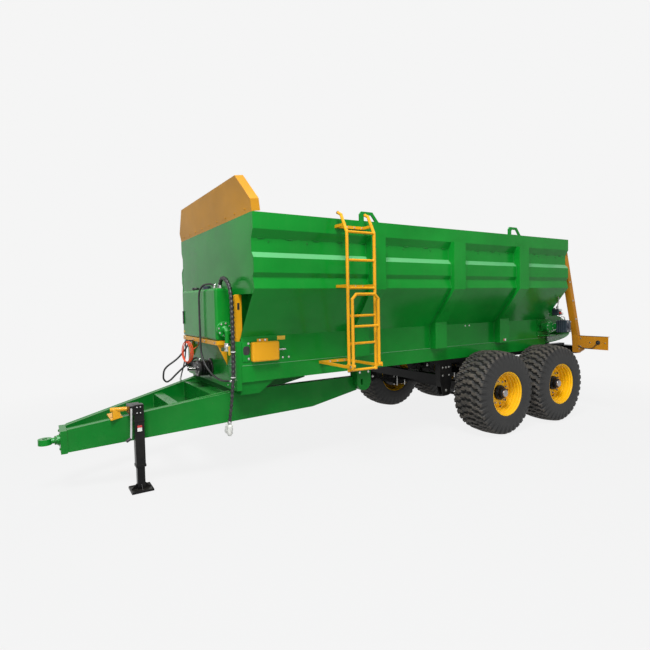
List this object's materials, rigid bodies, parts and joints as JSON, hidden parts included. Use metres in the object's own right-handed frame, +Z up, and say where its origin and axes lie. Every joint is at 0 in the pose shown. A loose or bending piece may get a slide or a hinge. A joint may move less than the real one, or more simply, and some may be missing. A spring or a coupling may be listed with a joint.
{
  "type": "manure spreader",
  "caption": "Towed tandem-axle manure spreader with a ribbed V-sided hopper, floor conveyor, leaning rear beaters, drawbar on a parking jack and a side ladder.",
  "frame": {"origin": "on the ground, under the middle of the machine's overall length and width", "axes": "+X towards the tow eye, +Y to the machine's left side, +Z up"},
  "size_m": [7.9472, 3.32, 3.1393],
  "materials": {
    "green_paint": "gloss green paint over folded steel sheet",
    "yellow_paint": "semi-gloss amber yellow paint",
    "black_paint": "satin black chassis paint",
    "bare_steel": "worn bare steel",
    "grey_casting": "painted casting",
    "tyre_rubber": "dull black tyre rubber",
    "hose_rubber": "black hose rubber"
  },
  "bodies": {
    "root": {"axle_front": "black_paint", "axle_rear": "black_paint", "beater_gear_beam": "black_paint", "body_side_left": "green_paint", "body_side_right": "green_paint", "chassis_rail_left": "green_paint", "chassis_rail_right": "green_paint", "conveyor_drive_shaft": "bare_steel", "conveyor_idler_shaft": "bare_steel", "conveyor_motor": "grey_casting", "cross_member_front": "green_paint", "cross_member_middle": "green_paint", "cross_member_rear": "green_paint", "drain_line": "hose_rubber", "drawbar_beam_left": "green_paint", "drawbar_beam_right": "green_paint", "drawbar_cross_front": "green_paint", "drawbar_cross_rear": "green_paint", "drawbar_nose": "green_paint", "floor_conveyor": "bare_steel", "floor_plate": "green_paint", "front_cover": "green_paint", "front_post_left": "yellow_paint", "front_post_right": "yellow_paint", "front_wall": "green_paint", "headboard": "yellow_paint", "hose_bundle": "hose_rubber", "jack_mount": "yellow_paint", "jack_tube": "black_paint", "ladder_main": "yellow_paint", "leaf_springs_left": "black_paint", "leaf_springs_right": "black_paint", "loop_hose": "hose_rubber", "motor_bracket": "green_paint", "oil_tank": "green_paint", "pto_gearbox": "black_paint", "pump_hose": "hose_rubber", "rear_post_left": "yellow_paint", "rear_post_right": "yellow_paint", "rear_top_beam": "yellow_paint", "rim_rail_left": "green_paint", "rim_rail_right": "green_paint", "suspension_frame": "black_paint", "tank_carrier": "yellow_paint", "tensioner_guard_left": "yellow_paint", "tensioner_guard_right": "yellow_paint", "tow_eye": "green_paint"},
    "wheel_front_left": {"tyre_front_left": "tyre_rubber", "rim_front_left": "yellow_paint"},
    "wheel_front_right": {"tyre_front_right": "tyre_rubber", "rim_front_right": "yellow_paint"},
    "wheel_rear_left": {"tyre_rear_left": "tyre_rubber", "rim_rear_left": "yellow_paint"},
    "wheel_rear_right": {"tyre_rear_right": "tyre_rubber", "rim_rear_right": "yellow_paint"},
    "beater_left": {"beater_left": "green_paint"},
    "beater_right": {"beater_right": "green_paint"},
    "jack_leg": {"jack_leg": "black_paint"},
    "ladder_fold": {"ladder_fold": "yellow_paint"}
  },
  "joints": [
    {"name": "wheel_front_left_spin", "type": "hinge", "parent": "root", "child": "wheel_front_left", "pos_m": [-1.4284, 1.152, 0.571], "axis": [0, 1, 0], "continuous": true},
    {"name": "wheel_front_right_spin", "type": "hinge", "parent": "root", "child": "wheel_front_right", "pos_m": [-1.4284, -1.152, 0.571], "axis": [0, 1, 0], "continuous": true},
    {"name": "wheel_rear_left_spin", "type": "hinge", "parent": "root", "child": "wheel_rear_left", "pos_m": [-2.6654, 1.152, 0.571], "axis": [0, 1, 0], "continuous": true},
    {"name": "wheel_rear_right_spin", "type": "hinge", "parent": "root", "child": "wheel_rear_right", "pos_m": [-2.6654, -1.152, 0.571], "axis": [0, 1, 0], "continuous": true},
    {"name": "beater_left_spin", "type": "hinge", "parent": "root", "child": "beater_left", "pos_m": [-3.5484, 0.48, 1.2], "axis": [0.2706, 0, 0.9627], "continuous": true},
    {"name": "beater_right_spin", "type": "hinge", "parent": "root", "child": "beater_right", "pos_m": [-3.5484, -0.48, 1.2], "axis": [0.2706, 0, 0.9627], "continuous": true},
    {"name": "jack_leg_slide", "type": "slide", "parent": "root", "child": "jack_leg", "axis": [0, 0, 1], "range_m": [-0.05, 0.16]},
    {"name": "ladder_fold_hinge", "type": "hinge", "parent": "root", "child": "ladder_fold", "pos_m": [1.0316, 1.515, 1.19], "axis": [-1, 0, 0], "range_deg": [0, 180]}
  ]
}
